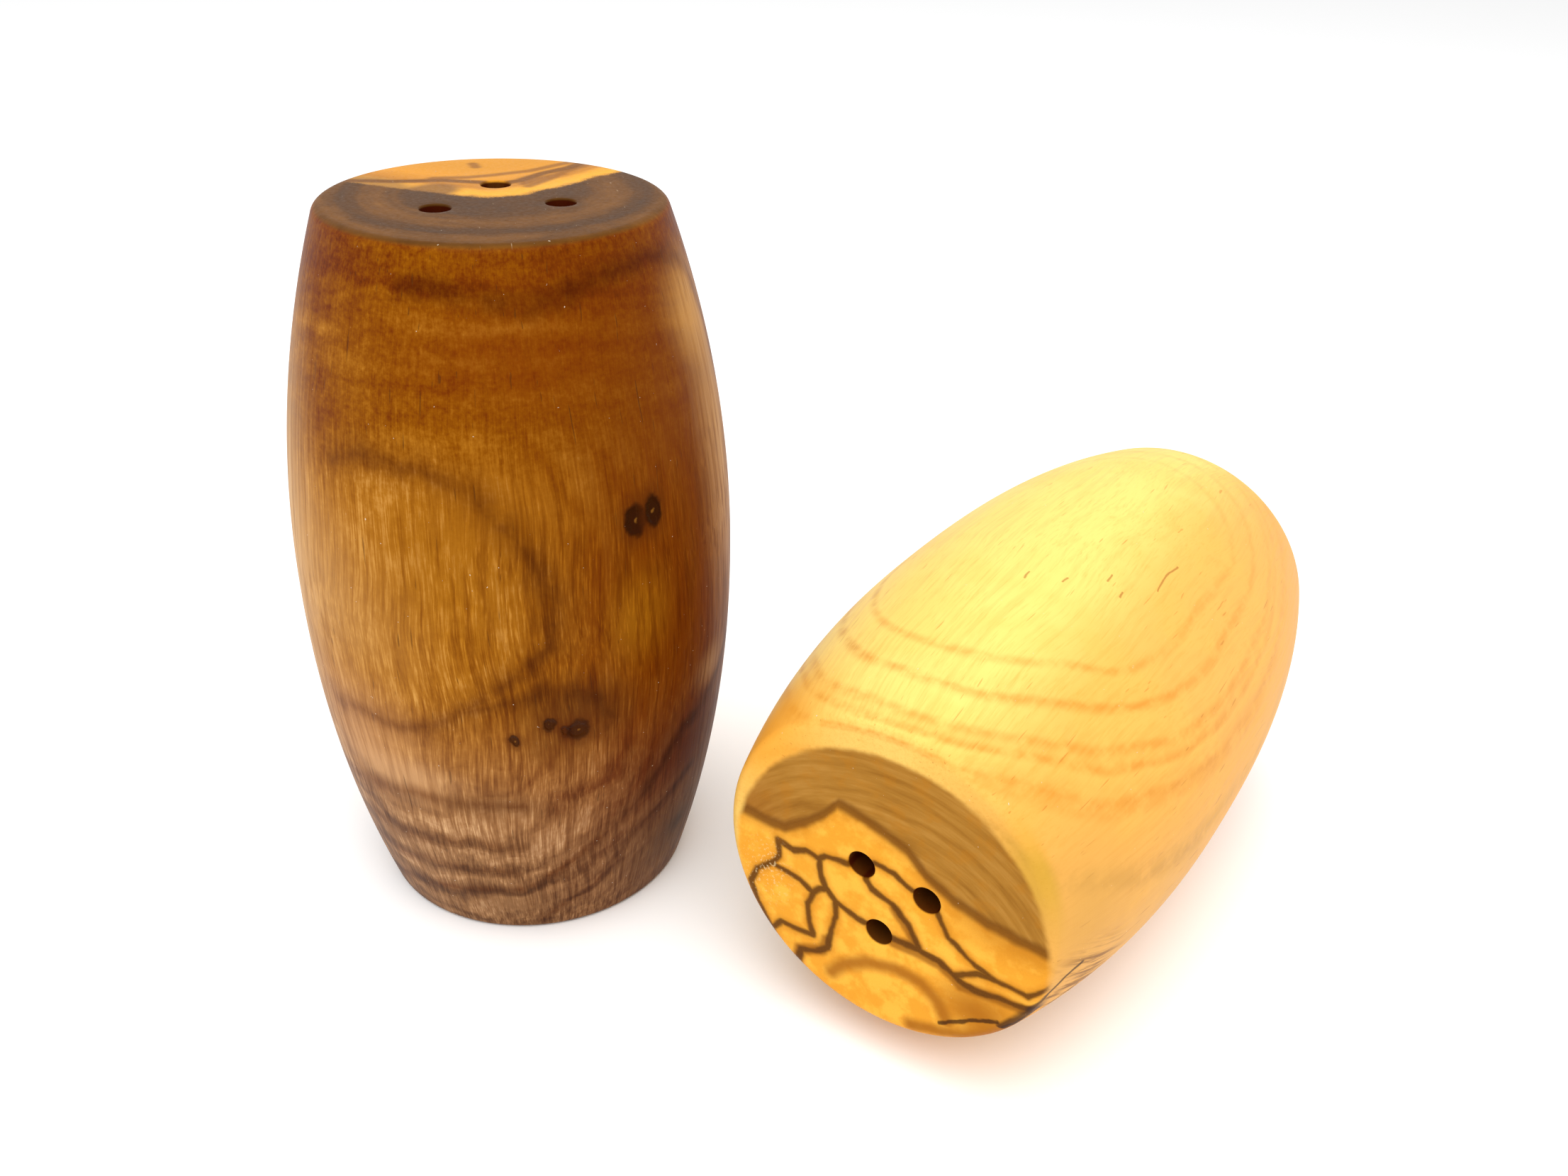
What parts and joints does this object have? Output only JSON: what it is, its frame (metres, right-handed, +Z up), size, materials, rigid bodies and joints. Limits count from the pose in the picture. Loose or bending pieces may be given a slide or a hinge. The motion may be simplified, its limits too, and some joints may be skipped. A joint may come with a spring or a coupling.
{
  "type": "salt and pepper shaker pair",
  "caption": "Turned wooden barrel-shaped shakers for salt and pepper, with sprinkle holes through the top and a pull-out stopper in the base.",
  "frame": {"origin": "centre of the pair's bounding box, on the surface that the pair rests on", "axes": "+Z up, along the standing dark shaker's axis; +X from the dark shaker to the light one; the lying light shaker's axis is along Y, with its top towards -Y and its base towards +Y"},
  "size_m": [0.1004, 0.0934, 0.08],
  "materials": {
    "dark_wood": "satin oiled heartwood, warm orange-brown to walnut with dark growth bands, pin knots and fine fibre streaks",
    "light_wood": "satin oiled pale sapwood with faint orange growth rings; the top shows a grey-brown heartwood crescent and dark veins",
    "stopper_rubber": "matt moulded soft rubber"
  },
  "bodies": {
    "light_shaker": {"light_shaker_body": "light_wood"},
    "light_stopper": {"light_shaker_stopper": "stopper_rubber"},
    "dark_shaker": {"dark_shaker_body": "dark_wood"},
    "dark_stopper": {"dark_shaker_stopper": "stopper_rubber"}
  },
  "joints": [
    {"name": "dark_shaker_lift", "type": "slide", "parent": "light_shaker", "child": "dark_shaker", "axis": [0, 0, 1], "range_m": [0, 0.06]},
    {"name": "dark_stopper_pull", "type": "slide", "parent": "dark_shaker", "child": "dark_stopper", "axis": [0, 0, -1], "range_m": [0, 0.025]},
    {"name": "light_stopper_pull", "type": "slide", "parent": "light_shaker", "child": "light_stopper", "axis": [0, 1, 0], "range_m": [0, 0.025]}
  ]
}
